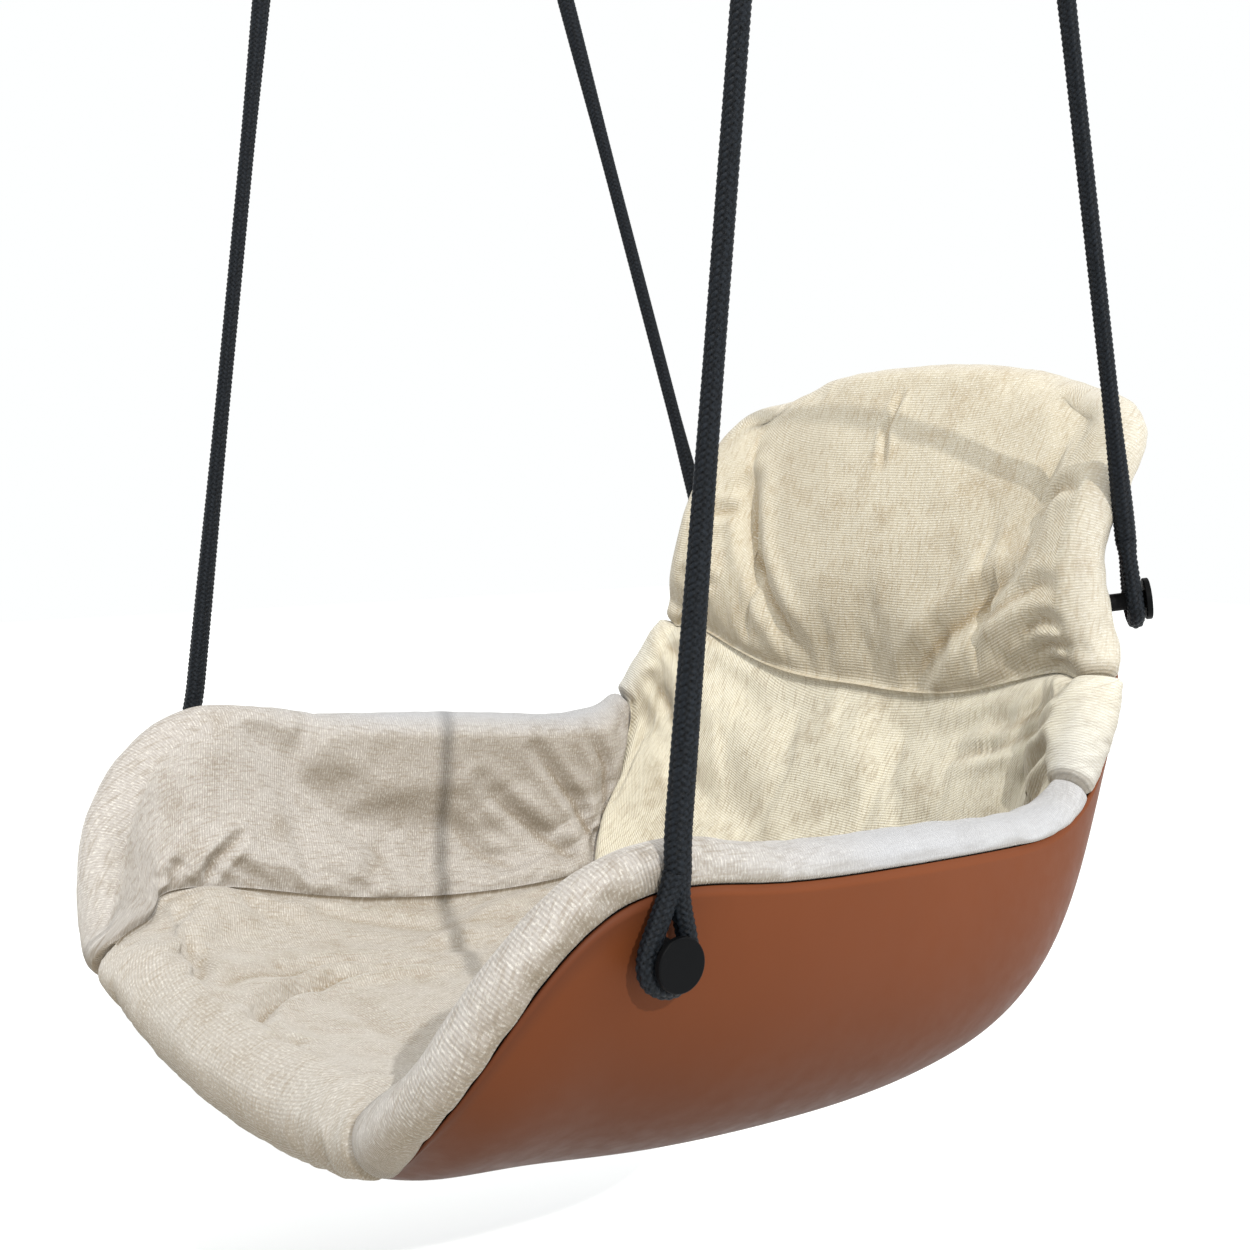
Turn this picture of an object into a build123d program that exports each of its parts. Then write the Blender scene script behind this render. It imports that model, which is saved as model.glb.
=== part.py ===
"""Hanging lounge chair: a padded bucket seat on four ropes under four eye plates.

Frame while modelling: X to the sitter's left, Y to the back, Z up, millimetres, with zero on the
axis of the two front buttons, 13 mm under the lowest point of the shell. Every part is moved
to the hanging frame, whose origin is the centre of the four eye plates' upper faces, on export.
"""
from build123d import *
import os
import numpy as np
from math import pi, sin

# ---------------------------------------------------------------- driving dimensions
ROPE_D = 14.0
HANG_Z = 1262.0              # height of the eye plates' upper faces
FRONT_BUTTON = (0.0, 262.0)  # y, z of the front buttons
REAR_BUTTON = (598.0, 458.0)
FRONT_AXIS = (1, 0, 0)       # of the buttons, out of the leather
REAR_AXIS = (0.70, 0.70, 0.14)
FRONT_PLATE = (393.0, 111.0)  # x, y of the front eye plates
REAR_PLATE = (348.0, 394.0)

LEATHER = 2.5                # thickness of the leather skin
SHELL = 9.0                  # thickness of the moulded shell
GAP = 0.4                    # glue line between leather and shell
PAD_GAP = 4.4                # soft felt under the pads
ROLL_GAP = 2.4               # between the shell's edge and the roll
ROLL_PROUD = 1.12            # how far the edge roll stands out, in half thicknesses

EYE_R = 18.5                 # centre line radius of a rope eye round its spool or thimble
EYE_BEND = 18.3              # the route's bends there
THROAT_BEND = 60.0           # radius of the bend into the straight rope
# Route of an eye from its centre, across and along the rope: tail, round the fitting, throat.
EYE_POINTS = [(-8.4, 31.0), (-20.7, -2.7), (-9.6, -18.5), (9.6, -18.5), (20.7, -2.7), (0.0, 54.0)]

SPOOL_R = 8.0
SPOOL_FLANGE_R = 14.0
SPOOL_FLANGE = 3.0
FRONT_LIFT = 3.6             # of the flange's inner face above the leather
REAR_LIFT = 6.0
BOLT_DEPTH = 9.0             # of the insert's inner end under the leather's surface
FRONT_LOOP_OUT = 17.0        # from the leather to the middle of the front rope loops
REAR_LOOP_OUT = 31.0         # the same at the back, where the rope passes outside the wing
BUTTON_R = 19.0
BUTTON_PAST = 9.8            # from the middle of the loop to the inner face of the button
BUTTON_T = 5.6
BOLT_R = 4.0
INSERT_R = 11.0

PIN_R = 5.0                  # shackle pin
BOW_R = 4.5                  # shackle bow rod
SHACKLE_IN = 11.5            # half of the inside width of the shackle
SHACKLE_BOW = 45.0           # from the pin to the centre line of the bow
THIMBLE_DROP = 1.0           # from the bow's centre line to the thimble's axis
THIMBLE_BORE_R = 9.4
EAR_R = 10.0                 # shackle ears
PIN_DROP = 27.0              # from the plate's upper face to the pin
RUNNING = 0.05               # radial clearance of the pin in its lug
PLATE = (46.0, 76.0, 6.0)    # eye plate, across, fore and aft, thick
PLATE_HOLE_R = 4.5
PLATE_HOLE_STEP = 52.0
LUG_T = 10.0
LUG_R = 15.0

# Stations from the front lip to the top of the back. Each row gives the place along the shell,
# the centre line (y, z), the edge seam (x, y, z), the flat reach and the wall height of the
# section, the direction in which the wall arrives, and the upholstery's thickness at the centre
# line and at the edge.
STATIONS = np.array([
    (0.00, -134, 54, 288, -130, 106, 190, 60, 0.85, -0.30, 0.42, 60, 44),
    (0.10, -88, 38, 370, -116, 192, 250, 100, 0.20, -0.45, 0.87, 64, 48),
    (0.21, 0, 24, 405, -30, 295, 285, 175, 0.08, -0.10, 1.00, 64, 42),
    (0.31, 85, 17, 408, 90, 297, 298, 192, 0.03, 0.01, 1.00, 62, 40),
    (0.42, 205, 14, 398, 225, 286, 302, 201, 0.01, 0.01, 1.00, 60, 40),
    (0.54, 346, 20, 376, 378, 277, 290, 194, -0.06, -0.09, 1.00, 58, 40),
    (0.65, 486, 75, 347, 513, 298, 261, 156, 0.17, -0.26, 0.88, 58, 42),
    (0.74, 575, 190, 318, 585, 395, 218, 81, 0.72, -0.51, 0.45, 58, 42),
    (0.84, 614, 365, 287, 598, 508, 210, 75, 0.85, -0.50, 0.05, 54, 36),
    (0.92, 645, 525, 284, 650, 602, 205, 75, 0.75, -0.60, 0.15, 50, 38),
    (1.00, 686, 650, 222, 684, 642, 140, 50, 0.80, -0.30, 0.35, 44, 42),
])
PADS = {                     # place along the shell and across it that each pad covers
    "seat_pad": ((0.008, 0.655), (-0.56, 0.56)),
    "left_arm_pad": ((0.008, 0.655), (0.57, 0.99)),
    "right_arm_pad": ((0.008, 0.655), (-0.99, -0.57)),
    "lower_back_pad": ((0.663, 0.765), (-0.99, 0.99)),
    "upper_back_pad": ((0.773, 0.992), (-0.99, 0.99)),
}
ORIGIN = Vector(0, (FRONT_PLATE[1] + REAR_PLATE[1]) / 2, HANG_Z)


# ---------------------------------------------------------------- the seat's surface
def bends(knots, rows):
    """Second derivatives of the natural cubic spline through the rows."""
    n = len(knots)
    step = np.diff(knots)
    slope = np.diff(rows, axis=0) / step[:, None]
    matrix = np.eye(n)
    right = np.zeros_like(rows)
    for i in range(1, n - 1):
        matrix[i, i - 1:i + 2] = step[i - 1], 2 * (step[i - 1] + step[i]), step[i]
        right[i] = 6 * (slope[i] - slope[i - 1])
    return np.linalg.solve(matrix, right)


KNOTS = STATIONS[:, 0]
ROWS = STATIONS[:, 1:]
BENDS = bends(KNOTS, ROWS)


def station(t):
    """All the values of the station table at the places t."""
    i = np.clip(np.searchsorted(KNOTS, t) - 1, 0, len(KNOTS) - 2)
    h = KNOTS[i + 1] - KNOTS[i]
    a = ((KNOTS[i + 1] - t) / h)[..., None]
    b = 1 - a
    curve = (a ** 3 - a) * BENDS[i] + (b ** 3 - b) * BENDS[i + 1]
    return a * ROWS[i] + b * ROWS[i + 1] + curve * (h ** 2)[..., None] / 6


def outer(t, v):
    """The outer leather surface: t runs from the lip to the top, v from -1 to 1 across."""
    q = station(t)
    zero = np.zeros_like(t)
    side = np.abs(v)[..., None]
    wall = q[..., 7:10] / np.linalg.norm(q[..., 7:10], axis=-1, keepdims=True)
    centre = np.stack([zero, q[..., 0], q[..., 1]], -1)
    edge = q[..., 2:5]
    flat = centre + np.stack([q[..., 5], zero, zero], -1)
    rise = edge - q[..., 6:7] * wall
    point = ((1 - side) ** 3 * centre + 3 * side * (1 - side) ** 2 * flat
             + 3 * side ** 2 * (1 - side) * rise + side ** 3 * edge)
    point[..., 0] *= np.where(v < 0, -1, 1)
    return point


def thickness(t, v):
    """Thickness of leather, shell and upholstery together."""
    q = station(t)
    return q[..., 10] + (q[..., 11] - q[..., 10]) * np.abs(v) ** 3


def slopes(t, v, h=1e-3):
    """Unit directions up the shell, across it and into the seat."""
    t = np.clip(t, h, 1 - h)
    v = np.clip(v, -1 + h, 1 - h)
    up = outer(t + h, v) - outer(t - h, v)
    across = outer(t, v + h) - outer(t, v - h)
    inward = np.cross(across, up)
    return [d / np.linalg.norm(d, axis=-1, keepdims=True) for d in (up, across, inward)]


def layer(t, v, depth):
    """A point at a depth under the leather's surface."""
    return outer(t, v) + slopes(t, v)[2] * depth[..., None]


# ---------------------------------------------------------------- curved bricks
def nodes(n):
    """n + 1 places from 0 to 1, closer together at the ends."""
    return (1 - np.cos(pi * np.arange(n + 1) / n)) / 2


def bernstein(n):
    """Values of the Bernstein polynomials of degree n at the nodes."""
    x = nodes(n)
    row = [np.ones_like(x)]
    for _ in range(n):
        wider = [np.zeros_like(x) for _ in range(len(row) + 1)]
        for k, value in enumerate(row):
            wider[k] = wider[k] + value * (1 - x)
            wider[k + 1] = wider[k + 1] + value * x
        row = wider
    return np.stack(row, -1)


def patch(points):
    """A Bezier face through a grid of points sampled at the nodes."""
    inner = np.linalg.solve(bernstein(points.shape[0] - 1), points.reshape(points.shape[0], -1))
    inner = inner.reshape(points.shape).transpose(1, 0, 2)
    both = np.linalg.solve(bernstein(points.shape[1] - 1), inner.reshape(points.shape[1], -1))
    net = both.reshape(points.shape[1], points.shape[0], 3).transpose(1, 0, 2)
    return Face.make_bezier_surface([[Vector(*p) for p in row] for row in net])


def brick(form, degrees):
    """A solid with six Bezier faces: form maps the unit cube to space."""
    faces = []
    for axis in range(3):
        others = [k for k in range(3) if k != axis]
        first, second = np.meshgrid(nodes(degrees[others[0]]), nodes(degrees[others[1]]), indexing="ij")
        for end in (0.0, 1.0):
            cube = [None, None, None]
            cube[axis] = np.full_like(first, end)
            cube[others[0]] = first
            cube[others[1]] = second
            faces.append(patch(form(*cube)))
    solid = Solid(Shell(faces))
    if solid.volume < 0:
        solid = Solid(solid.wrapped.Reversed())
    return solid


def panel(t_range, v_range, depth_range, degrees=(10, 10, 1)):
    """A piece of one layer of the seat, between two depths."""
    def form(a, b, c):
        t = t_range[0] + (t_range[1] - t_range[0]) * a
        v = v_range[0] + (v_range[1] - v_range[0]) * b
        low, high = [d(t, v) if callable(d) else np.full_like(t, d) for d in depth_range]
        return layer(t, v, low + (high - low) * c)
    return brick(form, degrees)


def section(b, c):
    """Half round section of the edge roll, b through the padding and c out from the edge."""
    left = pi / 3 * c
    right = pi - left
    top = pi / 3 * (1 + b)
    across = (1 - b) * (1 - np.cos(left)) + b * (1 - np.cos(right)) + (1 - c) * 2 * b + c * (1 - np.cos(top))
    across -= (1 - c) * 2 * b + c * ((1 - b) * 0.5 + b * 1.5)
    out = (1 - b) * np.sin(left) + b * np.sin(right) + c * np.sin(top) - c * sin(pi / 3)
    return across, out


def roll(path, out_of, degrees=(14, 6, 6)):
    """The padded roll along one stretch of the seat's edge."""
    def form(a, b, c):
        t, v = path(a)
        up, across, inward = slopes(t, v)
        out = out_of(up, across, v)
        half = thickness(t, v)[..., None] / 2
        through, proud = [x[..., None] for x in section(b, c)]
        return outer(t, v) + inward * half * through + out * (ROLL_GAP + half * ROLL_PROUD * proud)
    return brick(form, degrees)


def square_to(along, direction):
    """The part of a direction that is square to another, with unit length."""
    rest = direction - (direction * along).sum(-1, keepdims=True) * along
    return rest / np.linalg.norm(rest, axis=-1, keepdims=True)


def side_roll(first, last, sign):
    return roll(lambda a: (first + (last - first) * a, np.full_like(a, sign)),
                lambda up, across, v: square_to(up, across * sign))


def end_roll(t, reach, sign):
    return roll(lambda a: (np.full_like(a, t), reach * (2 * a - 1)),
                lambda up, across, v: square_to(across, up * sign))


# ---------------------------------------------------------------- hanging points
def seat_point(y, z):
    """The place on the left flank of the leather with a given y and z."""
    t, v = np.meshgrid(np.linspace(0.1, 0.95, 341), np.linspace(0.5, 1.0, 201), indexing="ij")
    miss = np.hypot(outer(t, v)[..., 1] - y, outer(t, v)[..., 2] - z)
    i = np.unravel_index(miss.argmin(), miss.shape)
    return Vector(*outer(t, v)[i])


def square(direction, along):
    """The part of a direction that is square to a unit vector, with unit length."""
    return (direction - along * direction.dot(along)).normalized()


class Corner:
    """A hanging point of the left side: its button on the seat and its eye plate above."""

    def __init__(self, button, plate, axis, loop_out, lift):
        self.loop_out, self.lift = loop_out, lift
        self.base = seat_point(*button)
        self.pin = Vector(plate[0], plate[1], HANG_Z - PIN_DROP)
        self.axis = Vector(*axis).normalized()
        self.loop = self.base + self.axis * loop_out
        self.hang = (self.loop - self.pin - Vector(self.loop.X - self.pin.X, 0, 0)).normalized()
        self.thimble = self.pin + self.hang * (SHACKLE_BOW + THIMBLE_DROP)
        self.rope = (self.thimble - self.loop).normalized()
        self.eye_axis = square(self.axis, self.rope)
        self.thimble_axis = square(Vector(1, 0, 0), self.rope)

    def anchor(self):
        """Z out of the leather along the button's axis."""
        return Plane(self.base, x_dir=self.rope.cross(self.axis).normalized(), z_dir=self.axis)


FRONT = Corner(FRONT_BUTTON, FRONT_PLATE, FRONT_AXIS, FRONT_LOOP_OUT, FRONT_LIFT)
REAR = Corner(REAR_BUTTON, REAR_PLATE, REAR_AXIS, REAR_LOOP_OUT, REAR_LIFT)


def tube(low, high, outside, inside=0.0):
    """A round bar or ring along Z."""
    bar = Pos(0, 0, low) * Cylinder(outside, high - low, align=(Align.CENTER, Align.CENTER, Align.MIN))
    if inside:
        bar -= Pos(0, 0, low - 1) * Cylinder(inside, high - low + 2, align=(Align.CENTER, Align.CENTER, Align.MIN))
    return bar


def along_x(shape):
    return Rot(0, 90, 0) * shape


# ---------------------------------------------------------------- anchors on the seat
def spool(corner):
    """Flanged bush that the rope eye turns on."""
    flange = corner.lift + SPOOL_FLANGE
    body = tube(corner.lift, flange, SPOOL_FLANGE_R) + tube(flange, corner.loop_out + BUTTON_PAST, SPOOL_R)
    return corner.anchor().location * (body - tube(0, 90, BOLT_R + 0.02))


def button(corner):
    """Round cap over the spool, with softened edges and a blind hole for the bolt."""
    inner = corner.loop_out + BUTTON_PAST
    cap = fillet(tube(inner, inner + BUTTON_T, BUTTON_R).edges(), 1.2)
    return corner.anchor().location * (cap - tube(inner - 1, inner + BUTTON_T - 2, BOLT_R + 0.02))


def bolt(corner):
    """Screw from the shell's insert, through leather and spool, into the button."""
    return corner.anchor().location * tube(-BOLT_DEPTH, corner.loop_out + BUTTON_PAST + BUTTON_T - 2.2, BOLT_R)


def insert(corner):
    """Threaded insert moulded into the shell."""
    return corner.anchor().location * tube(-BOLT_DEPTH, -LEATHER - GAP - 0.6, INSERT_R, BOLT_R + 0.02)


# ---------------------------------------------------------------- ropes and upper fittings
def rope(corner):
    """One rope with its two spliced eyes."""
    low_side = corner.rope.cross(corner.eye_axis).normalized()
    high_side = corner.rope.cross(corner.thimble_axis).normalized()
    points = [corner.loop + low_side * a + corner.rope * b for a, b in EYE_POINTS]
    points += [corner.thimble + high_side * a - corner.rope * b for a, b in reversed(EYE_POINTS)]
    radii = [EYE_BEND] * 4 + [THROAT_BEND] * 2 + [EYE_BEND] * 4
    path = FilletPolyline(*points, radius=radii)
    solid = sweep(Plane(path @ 0, z_dir=path % 0) * Circle(ROPE_D / 2), path=path)
    print("rope", round(path.length), "mm, radii", radii, "volume against section times length",
          round(solid.volume / (pi * ROPE_D ** 2 / 4 * path.length), 4))
    return solid


def thimble(corner):
    """Grooved steel ring in the upper eye."""
    seat_r = EYE_R - ROPE_D / 2 - 0.4
    half = ROPE_D / 2 + 1.2
    body = tube(-half, half, seat_r)
    for low in (-half, half - 1):
        body += tube(low, low + 1, EYE_R - 1.5)
    place = Plane(corner.thimble, x_dir=corner.rope, z_dir=corner.thimble_axis)
    return place.location * (body - tube(-half, half, THIMBLE_BORE_R))


def hanging(corner):
    """The shackle's plane: X along the pin, Z up the shackle."""
    return Plane(corner.pin, x_dir=(1, 0, 0), z_dir=corner.hang * -1)


def shackle(corner):
    """U of round bar with an ear at each end for the pin."""
    spine = SHACKLE_IN + BOW_R
    drop = SHACKLE_BOW - spine
    bow = Plane((0, 0, -drop), x_dir=(1, 0, 0), z_dir=(0, 1, 0))
    body = Solid.make_torus(spine, BOW_R, bow, major_angle=180)
    for x in (-spine, spine):
        body += Pos(x, 0, 0) * tube(-drop, 0, BOW_R)
        body += Pos(x, 0, 0) * along_x(tube(-BOW_R, BOW_R, EAR_R))
    return hanging(corner).location * (body - along_x(tube(-2 * spine, 2 * spine, PIN_R + 0.02)))


def shackle_pin(corner):
    """Headed pin through the shackle's ears and the lug."""
    reach = SHACKLE_IN + 2 * BOW_R
    pin = tube(-reach - 1.5, reach + 0.3, PIN_R) + tube(reach + 0.3, reach + 4.3, 1.6 * PIN_R)
    return hanging(corner).location * along_x(pin)


def eye_plate(corner):
    """Base plate with two screw holes and a drilled lug."""
    across, deep, thick = PLATE
    base = Box(across, deep, thick, align=(Align.CENTER, Align.CENTER, Align.MAX))
    base = fillet(base.edges().filter_by(Axis.Z), 8)
    lug = Plane.YZ * (Pos(0, -PIN_DROP) * Circle(LUG_R) + Pos(0, -PIN_DROP / 2) * Rectangle(2 * LUG_R, PIN_DROP))
    body = base + extrude(lug, LUG_T / 2, both=True)
    body -= Pos(0, 0, -PIN_DROP) * along_x(tube(-LUG_T, LUG_T, PIN_R + RUNNING))
    for end in (-1, 1):
        body -= Pos(0, end * PLATE_HOLE_STEP / 2, 0) * tube(-2 * thick, 1, PLATE_HOLE_R)
    return Pos(corner.pin.X, corner.pin.Y, HANG_Z) * body


# ---------------------------------------------------------------- writing
def write(name, shape):
    export_step(Pos(*(ORIGIN * -1)) * shape, f"parts/{name}.step")


def main():
    os.makedirs("parts", exist_ok=True)
    under = LEATHER + GAP
    over_shell = under + SHELL + PAD_GAP
    write("leather_cover", panel((0, 1), (-1, 1), (0, LEATHER), (16, 14, 1)))
    write("seat_shell", panel((0.004, 0.996), (-0.995, 0.995), (under, under + SHELL), (16, 14, 1)))
    for name, (t_range, v_range) in PADS.items():
        write(name, panel(t_range, v_range, (over_shell, thickness), (14, 12, 1)))
    write("front_roll", end_roll(0.0, 0.97, -1))
    write("top_roll", end_roll(1.0, 0.96, 1))
    for word, sign in (("left", 1.0), ("right", -1.0)):
        write(f"{word}_arm_roll", side_roll(0.012, 0.66, sign))
        write(f"{word}_wing_roll", side_roll(0.665, 0.985, sign))
    for name, make in (("anchor_inserts", insert), ("anchor_bolts", bolt)):
        pair = [make(FRONT), make(REAR)]
        write(name, Compound(pair + [mirror(one, Plane.YZ) for one in pair]))
    for end, corner in (("front", FRONT), ("rear", REAR)):
        for make in (spool, button, rope, thimble, shackle, shackle_pin, eye_plate):
            left = make(corner)
            write(f"{end}_left_{make.__name__}", left)
            right = Pos(-2 * corner.pin.X, 0, 0) * left if make is shackle else mirror(left, Plane.YZ)
            write(f"{end}_right_{make.__name__}", right)
        for name in ("loop", "pin", "thimble", "axis", "rope", "thimble_axis"):
            place = getattr(corner, name) - (ORIGIN if name in ("loop", "pin", "thimble") else Vector())
            print(end, name, [round(c, 4) for c in place])


if __name__ == "__main__":
    main()
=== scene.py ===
"""Hanging lounge chair: leather bucket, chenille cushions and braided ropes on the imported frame.

Metres, in the row frame: X to the sitter's left, Y to the back, Z up, with the origin at the centre
of the four eye plates' upper faces.
"""
from math import cos, pi, radians, sin

import bpy
import numpy as np
from mathutils import Matrix, Vector, noise


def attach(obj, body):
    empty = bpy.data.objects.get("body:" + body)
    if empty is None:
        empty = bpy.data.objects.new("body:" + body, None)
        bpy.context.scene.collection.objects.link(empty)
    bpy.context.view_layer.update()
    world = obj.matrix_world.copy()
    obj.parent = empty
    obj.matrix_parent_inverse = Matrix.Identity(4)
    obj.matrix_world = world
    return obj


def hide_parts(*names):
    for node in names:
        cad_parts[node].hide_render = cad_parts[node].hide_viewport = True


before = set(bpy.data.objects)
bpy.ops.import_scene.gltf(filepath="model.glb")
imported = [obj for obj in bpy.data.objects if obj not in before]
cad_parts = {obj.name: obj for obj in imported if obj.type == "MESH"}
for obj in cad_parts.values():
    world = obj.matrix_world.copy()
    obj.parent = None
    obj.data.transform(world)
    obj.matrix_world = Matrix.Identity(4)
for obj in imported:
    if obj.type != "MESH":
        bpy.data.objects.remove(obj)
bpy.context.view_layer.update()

# ---------------------------------------------------------------- sizes, the same as the CAD part's
ROPE_D = 0.014
SHELL_IN = 0.0144            # from the leather's surface to the felt under the cushions
ROLL_PROUD = 1.12            # the edge roll's height outwards over its radius
ORIGIN = np.array([0.0, 0.2525, 1.262])

# Stations from the front lip to the top of the back: the place along the shell, the centre line
# (y, z), the edge seam (x, y, z), the flat reach and the wall height, the wall's direction, and the
# upholstery's thickness at the centre line and at the edge, in millimetres over the seat's frame.
STATIONS = np.array([
    (0.00, -134, 54, 288, -130, 106, 190, 60, 0.85, -0.30, 0.42, 60, 44),
    (0.10, -88, 38, 370, -116, 192, 250, 100, 0.20, -0.45, 0.87, 64, 48),
    (0.21, 0, 24, 405, -30, 295, 285, 175, 0.08, -0.10, 1.00, 64, 42),
    (0.31, 85, 17, 408, 90, 297, 298, 192, 0.03, 0.01, 1.00, 62, 40),
    (0.42, 205, 14, 398, 225, 286, 302, 201, 0.01, 0.01, 1.00, 60, 40),
    (0.54, 346, 20, 376, 378, 277, 290, 194, -0.06, -0.09, 1.00, 58, 40),
    (0.65, 486, 75, 347, 513, 298, 261, 156, 0.17, -0.26, 0.88, 58, 42),
    (0.74, 575, 190, 318, 585, 395, 218, 81, 0.72, -0.51, 0.45, 58, 42),
    (0.84, 614, 365, 287, 598, 508, 210, 75, 0.85, -0.50, 0.05, 54, 36),
    (0.92, 645, 525, 284, 650, 602, 205, 75, 0.75, -0.60, 0.15, 50, 38),
    (1.00, 686, 650, 222, 684, 642, 140, 50, 0.80, -0.30, 0.35, 44, 42),
])


# ---------------------------------------------------------------- the seat's surface
def bends(knots, rows):
    """Second derivatives of the natural cubic spline through the rows."""
    n = len(knots)
    step = np.diff(knots)
    slope = np.diff(rows, axis=0) / step[:, None]
    matrix = np.eye(n)
    right = np.zeros_like(rows)
    for i in range(1, n - 1):
        matrix[i, i - 1:i + 2] = step[i - 1], 2 * (step[i - 1] + step[i]), step[i]
        right[i] = 6 * (slope[i] - slope[i - 1])
    return np.linalg.solve(matrix, right)


KNOTS = STATIONS[:, 0]
ROWS = STATIONS[:, 1:]
BENDS = bends(KNOTS, ROWS)


def station(t):
    i = np.clip(np.searchsorted(KNOTS, t) - 1, 0, len(KNOTS) - 2)
    h = KNOTS[i + 1] - KNOTS[i]
    a = ((KNOTS[i + 1] - t) / h)[..., None]
    b = 1 - a
    curve = (a ** 3 - a) * BENDS[i] + (b ** 3 - b) * BENDS[i + 1]
    return a * ROWS[i] + b * ROWS[i + 1] + curve * (h ** 2)[..., None] / 6


def round_corners(t, side):
    """Places drawn in from the four corners of the edge, so that the edge turns smoothly there."""
    for end, reach_t, reach_v in ((0.0, 0.045, 0.13), (1.0, 0.045, 0.30)):
        a = np.clip(1 - np.abs(end - t) / reach_t, 0, 1)
        b = np.clip(1 - (1 - side) / reach_v, 0, 1)
        t = t + (1 - 2 * end) * 0.3 * reach_t * b ** 2 * a
        side = side - 0.3 * reach_v * a ** 2 * b
    return t, side


def outer(t, v):
    """The leather's outer surface in the row frame: t along the shell, v from -1 to 1 across."""
    t, side = round_corners(t, np.abs(v))
    q = station(t)
    zero = np.zeros_like(t)
    side = side[..., None]
    wall = q[..., 7:10] / np.linalg.norm(q[..., 7:10], axis=-1, keepdims=True)
    centre = np.stack([zero, q[..., 0], q[..., 1]], -1)
    edge = q[..., 2:5]
    flat = centre + np.stack([q[..., 5], zero, zero], -1)
    rise = edge - q[..., 6:7] * wall
    point = ((1 - side) ** 3 * centre + 3 * side * (1 - side) ** 2 * flat
             + 3 * side ** 2 * (1 - side) * rise + side ** 3 * edge)
    point[..., 0] *= np.where(v < 0, -1, 1)
    return point / 1000 - ORIGIN


def thickness(t, v):
    """Leather, shell and upholstery together."""
    q = station(t)
    return (q[..., 10] + (q[..., 11] - q[..., 10]) * np.abs(v) ** 3) / 1000


def slopes(t, v, h=1e-3):
    """Unit directions up the shell, across it and into the seat."""
    t = np.clip(t, h, 1 - h)
    v = np.clip(v, -1 + h, 1 - h)
    up = outer(t + h, v) - outer(t - h, v)
    across = outer(t, v + h) - outer(t, v - h)
    inward = np.cross(across, up)
    return [d / np.linalg.norm(d, axis=-1, keepdims=True) for d in (up, across, inward)]


def smooth_step(x, low, high):
    s = np.clip((x - low) / (high - low), 0, 1)
    return s * s * (3 - 2 * s)


# ---------------------------------------------------------------- camera
def add_camera():
    """Low three-quarter view from the sitter's front left."""
    yaw, dip = radians(54.19), radians(5.58)
    look = Vector((-sin(yaw) * cos(dip), cos(yaw) * cos(dip), -sin(dip)))
    right = Vector((cos(yaw), sin(yaw), 0))
    up = right.cross(look)
    data = bpy.data.cameras.new("camera")
    data.lens = 48.96
    data.sensor_width = 36
    data.clip_start = 0.05
    camera = bpy.data.objects.new("camera", data)
    place = Vector((1.2887, -0.6622, 0.5905)) - Vector(ORIGIN)
    camera.matrix_world = Matrix((
        (right.x, up.x, -look.x, place.x),
        (right.y, up.y, -look.y, place.y),
        (right.z, up.z, -look.z, place.z),
        (0, 0, 0, 1)))
    bpy.context.scene.collection.objects.link(camera)
    bpy.context.scene.camera = camera


# ---------------------------------------------------------------- materials
class Paint:
    """A material being wired: a Principled shader and helpers that add nodes before it."""

    def __init__(self, name, color, rough, metallic=0.0):
        self.material = bpy.data.materials.new(name)
        self.material.use_nodes = True
        self.tree = self.material.node_tree
        self.shader = self.tree.nodes["Principled BSDF"]
        self.shader.inputs["Base Color"].default_value = (*color, 1)
        self.shader.inputs["Roughness"].default_value = rough
        self.shader.inputs["Metallic"].default_value = metallic
        self.space = self.node("ShaderNodeTexCoord").outputs["Object"]

    def node(self, kind, **settings):
        made = self.tree.nodes.new(kind)
        for name, value in settings.items():
            setattr(made, name, value)
        return made

    def put(self, node, **inputs):
        """Sets a node's inputs by name, as values or as links."""
        for name, value in inputs.items():
            socket = node.inputs[int(name[1:])] if name[0] == "_" else node.inputs[name.replace("_", " ")]
            if isinstance(value, bpy.types.NodeSocket):
                self.tree.links.new(value, socket)
            else:
                socket.default_value = value
        return node

    def noise(self, scale, detail=3.0, rough=0.55, space=None, stretch=None):
        space = space or self.space
        if stretch:
            space = self.put(self.node("ShaderNodeMapping"), Vector=space, Scale=stretch).outputs[0]
        made = self.put(self.node("ShaderNodeTexNoise"), Vector=space, Scale=scale, Detail=detail,
                        Roughness=rough)
        return made.outputs[0]

    def split(self, vector):
        """The three parts of a vector."""
        return self.put(self.node("ShaderNodeSeparateXYZ"), Vector=vector).outputs

    def math(self, operation, a, b=0.5, c=0.5):
        return self.put(self.node("ShaderNodeMath", operation=operation), _0=a, _1=b, _2=c).outputs[0]

    def attribute(self, name):
        return self.node("ShaderNodeAttribute", attribute_name=name).outputs

    def ramp(self, value, *stops):
        made = self.put(self.node("ShaderNodeValToRGB"), Fac=value)
        while len(made.color_ramp.elements) < len(stops):
            made.color_ramp.elements.new(0.5)
        for element, (place, color) in zip(made.color_ramp.elements, stops):
            element.position = place
            element.color = (*color, 1) if hasattr(color, "__len__") else (color, color, color, 1)
        return made.outputs[0]

    def mix(self, factor, a, b):
        made = self.node("ShaderNodeMix", data_type="RGBA")
        made.clamp_factor = True
        return self.put(made, _0=factor, _6=a, _7=b).outputs[2]

    def bump(self, height, strength, distance):
        made = self.put(self.node("ShaderNodeBump"), Height=height, Strength=strength, Distance=distance)
        return made.outputs[0]

    def finish(self, **inputs):
        self.put(self.shader, **inputs)
        return self.material


RIB_PITCH = 0.0026           # from rib to rib of the chenille
YARN_PITCH = 0.0012          # from yarn to yarn in a float of the braid


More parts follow.
